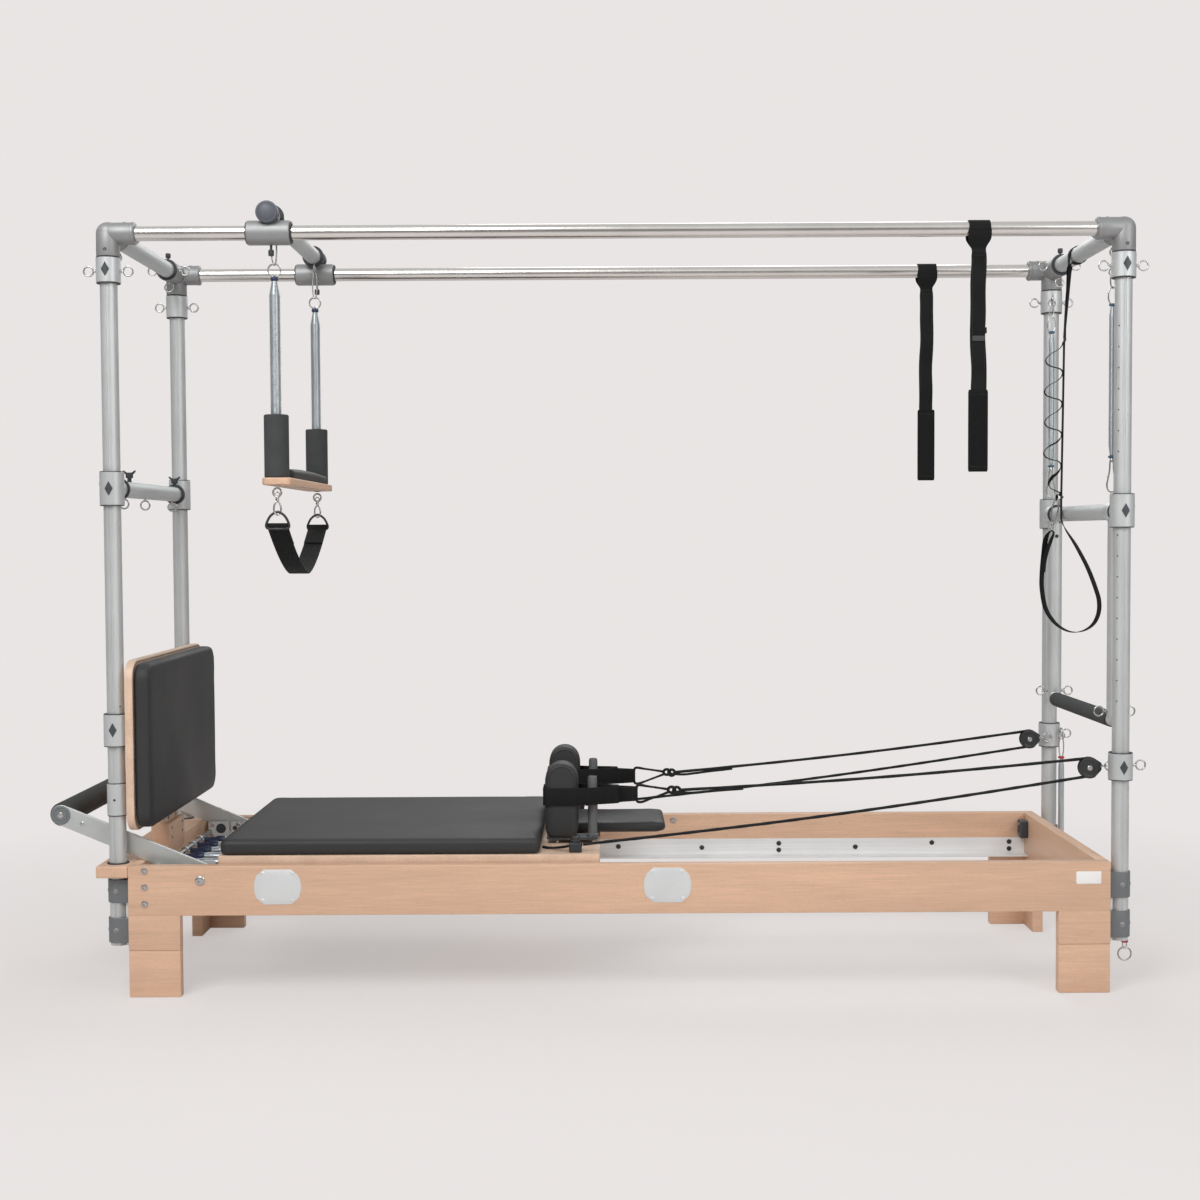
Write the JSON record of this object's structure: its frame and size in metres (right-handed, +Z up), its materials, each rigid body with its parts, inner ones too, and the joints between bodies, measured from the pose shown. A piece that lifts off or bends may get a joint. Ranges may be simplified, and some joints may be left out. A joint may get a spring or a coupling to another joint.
{
  "type": "pilates reformer with tower",
  "caption": "Wooden reformer bed with a sliding carriage under a four-post tube tower with a sliding trapeze, a push-through bar, hanging springs and straps.",
  "frame": {"origin": "middle of the bounding box's bottom face, on the floor", "axes": "+X from the foot end to the head end, +Y from the near side to the far side, +Z up"},
  "size_m": [2.6682, 0.738, 1.909],
  "materials": {
    "beech": "satin",
    "satin_aluminium": "satin",
    "grey_casting": "satin",
    "dark_casting": "satin",
    "polished_steel": "polished",
    "spring_steel": "satin",
    "grey_upholstery": "matte",
    "grey_foam": "matte",
    "black_webbing": "matte",
    "black_plastic": "matte"
  },
  "bodies": {
    "base": {"near_side_frame": "beech", "far_side_frame": "beech", "head_end_board": "beech", "foot_end_board": "beech", "near_track": "satin_aluminium", "far_track": "satin_aluminium", "foot_top_crossbar": "satin_aluminium", "head_top_crossbar": "satin_aluminium", "foot_near_post": "satin_aluminium", "foot_far_post": "satin_aluminium", "head_near_post": "satin_aluminium", "head_far_post": "satin_aluminium", "near_top_rail": "polished_steel", "far_top_rail": "polished_steel", "spring_anchor_bar": "polished_steel", "near_pulley_collar": "grey_casting", "far_pulley_collar": "grey_casting", "foot_near_corner": "grey_casting", "foot_far_corner": "grey_casting", "head_near_corner": "grey_casting", "head_far_corner": "grey_casting", "pivot_crossbar": "grey_casting", "foot_near_post_bracket": "dark_casting", "foot_far_post_bracket": "dark_casting", "head_near_post_bracket": "dark_casting", "head_far_post_bracket": "dark_casting", "near_pulley_block": "black_plastic", "far_pulley_block": "black_plastic", "near_rope": "black_webbing", "far_rope": "black_webbing", "reformer_springs": "spring_steel"},
    "carriage": {"carriage_deck": "beech", "carriage_pad": "grey_upholstery"},
    "headrest_body": {"headrest": "grey_upholstery"},
    "near_rest": {"near_shoulder_rest": "grey_upholstery"},
    "far_rest": {"far_shoulder_rest": "grey_upholstery"},
    "foot_axle": {"foot_wheel_axle": "black_plastic"},
    "head_axle": {"head_wheel_axle": "black_plastic"},
    "footbar": {"footbar_frame": "satin_aluminium", "footbar_grip": "grey_foam"},
    "jumpboard_body": {"jumpboard": "beech", "jumpboard_pad": "grey_upholstery"},
    "push_bar": {"push_through_bar": "satin_aluminium", "push_through_grip": "grey_foam"},
    "foot_bar": {"foot_crossbar": "grey_casting"},
    "trapeze": {"trapeze_crossbar": "grey_casting"},
    "swing": {"near_swing_spring": "spring_steel", "far_swing_spring": "spring_steel", "swing_seat": "beech", "swing_padding": "grey_foam"},
    "swing_loop": {"swing_strap": "black_webbing"},
    "near_sheave_body": {"near_sheave": "black_plastic"},
    "far_sheave_body": {"far_sheave": "black_plastic"},
    "near_arm_body": {"near_arm_spring": "spring_steel"},
    "far_arm_body": {"far_arm_spring": "spring_steel"},
    "near_leg_body": {"near_leg_spring": "spring_steel"},
    "far_leg_body": {"far_leg_spring": "spring_steel"},
    "near_strap_body": {"near_top_strap": "black_webbing"},
    "far_strap_body": {"far_top_strap": "black_webbing"},
    "safety_body": {"safety_strap": "black_webbing"}
  },
  "joints": [
    {"name": "carriage_slide", "type": "slide", "parent": "base", "child": "carriage", "axis": [1, 0, 0], "range_m": [0, 0.95], "stiffness_N_per_m": 300, "springref_m": -0.1, "deforming": ["near_rope", "far_rope", "reformer_springs"]},
    {"name": "headrest_tilt", "type": "hinge", "parent": "carriage", "child": "headrest_body", "pos_m": [-0.10104, 0, 0.3428], "axis": [0, -1, 0], "range_deg": [0, 35]},
    {"name": "near_rest_lift", "type": "slide", "parent": "carriage", "child": "near_rest", "axis": [0, 0, 1], "range_m": [0, 0.035]},
    {"name": "far_rest_lift", "type": "slide", "parent": "carriage", "child": "far_rest", "axis": [0, 0, 1], "range_m": [0, 0.035]},
    {"name": "foot_axle_spin", "type": "hinge", "parent": "carriage", "child": "foot_axle", "pos_m": [-0.80904, 0, 0.2303], "axis": [0, 1, 0], "continuous": true},
    {"name": "head_axle_spin", "type": "hinge", "parent": "carriage", "child": "head_axle", "pos_m": [-0.09364, 0, 0.2303], "axis": [0, 1, 0], "continuous": true},
    {"name": "footbar_fold", "type": "hinge", "parent": "base", "child": "footbar", "pos_m": [-0.94804, 0, 0.281], "axis": [0, 1, 0], "range_deg": [0, 2.5]},
    {"name": "jumpboard_lift", "type": "slide", "parent": "base", "child": "jumpboard_body", "axis": [0, 0, 1], "range_m": [0, 0.06]},
    {"name": "push_through_swing", "type": "hinge", "parent": "base", "child": "push_bar", "pos_m": [1.27246, 0, 1.157], "axis": [0, 1, 0], "range_deg": [-120, 110]},
    {"name": "foot_crossbar_height", "type": "slide", "parent": "base", "child": "foot_bar", "axis": [0, 0, 1], "range_m": [-0.36, 0.43]},
    {"name": "trapeze_slide", "type": "slide", "parent": "base", "child": "trapeze", "axis": [1, 0, 0], "range_m": [-0.25, 1.55]},
    {"name": "swing_sway", "type": "hinge", "parent": "trapeze", "child": "swing", "pos_m": [-0.76804, 0, 1.8355], "axis": [0, 1, 0], "range_deg": [-35, 20]},
    {"name": "swing_loop_sway", "type": "hinge", "parent": "swing", "child": "swing_loop", "pos_m": [-0.76804, 0, 1.203], "axis": [0, 1, 0], "range_deg": [-40, 40]},
    {"name": "near_sheave_spin", "type": "hinge", "parent": "base", "child": "near_sheave_body", "pos_m": [1.20696, -0.286, 0.533], "axis": [0, 1, 0], "continuous": true},
    {"name": "near_arm_spring_sway", "type": "hinge", "parent": "base", "child": "near_arm_body", "pos_m": [1.26296, -0.275, 1.7358], "axis": [0, 1, 0], "range_deg": [-60, 60]},
    {"name": "near_leg_spring_sway", "type": "hinge", "parent": "base", "child": "near_leg_body", "pos_m": [1.29696, -0.286, 0.5405], "axis": [0, 1, 0], "range_deg": [-60, 4.5]},
    {"name": "near_top_strap_sway", "type": "hinge", "parent": "base", "child": "near_strap_body", "pos_m": [0.92496, -0.322, 1.8333], "axis": [1, 0, 0], "range_deg": [-45, 45]},
    {"name": "far_sheave_spin", "type": "hinge", "parent": "base", "child": "far_sheave_body", "pos_m": [1.20696, 0.286, 0.533], "axis": [0, 1, 0], "continuous": true},
    {"name": "far_arm_spring_sway", "type": "hinge", "parent": "base", "child": "far_arm_body", "pos_m": [1.26296, 0.275, 1.7358], "axis": [0, 1, 0], "range_deg": [-60, 60]},
    {"name": "far_leg_spring_sway", "type": "hinge", "parent": "base", "child": "far_leg_body", "pos_m": [1.29696, 0.286, 0.5405], "axis": [0, 1, 0], "range_deg": [-60, 4.5]},
    {"name": "far_top_strap_sway", "type": "hinge", "parent": "base", "child": "far_strap_body", "pos_m": [0.92496, 0.322, 1.8333], "axis": [1, 0, 0], "range_deg": [-45, 45]},
    {"name": "safety_strap_sway", "type": "hinge", "parent": "base", "child": "safety_body", "pos_m": [1.27246, 0, 1.8333], "axis": [0, 1, 0], "range_deg": [0, 25]}
  ],
  "couplings": [
    {"joint": "foot_axle_spin", "follows": "carriage_slide", "rad_per_m": 38.462},
    {"joint": "head_axle_spin", "follows": "carriage_slide", "rad_per_m": 38.462}
  ]
}
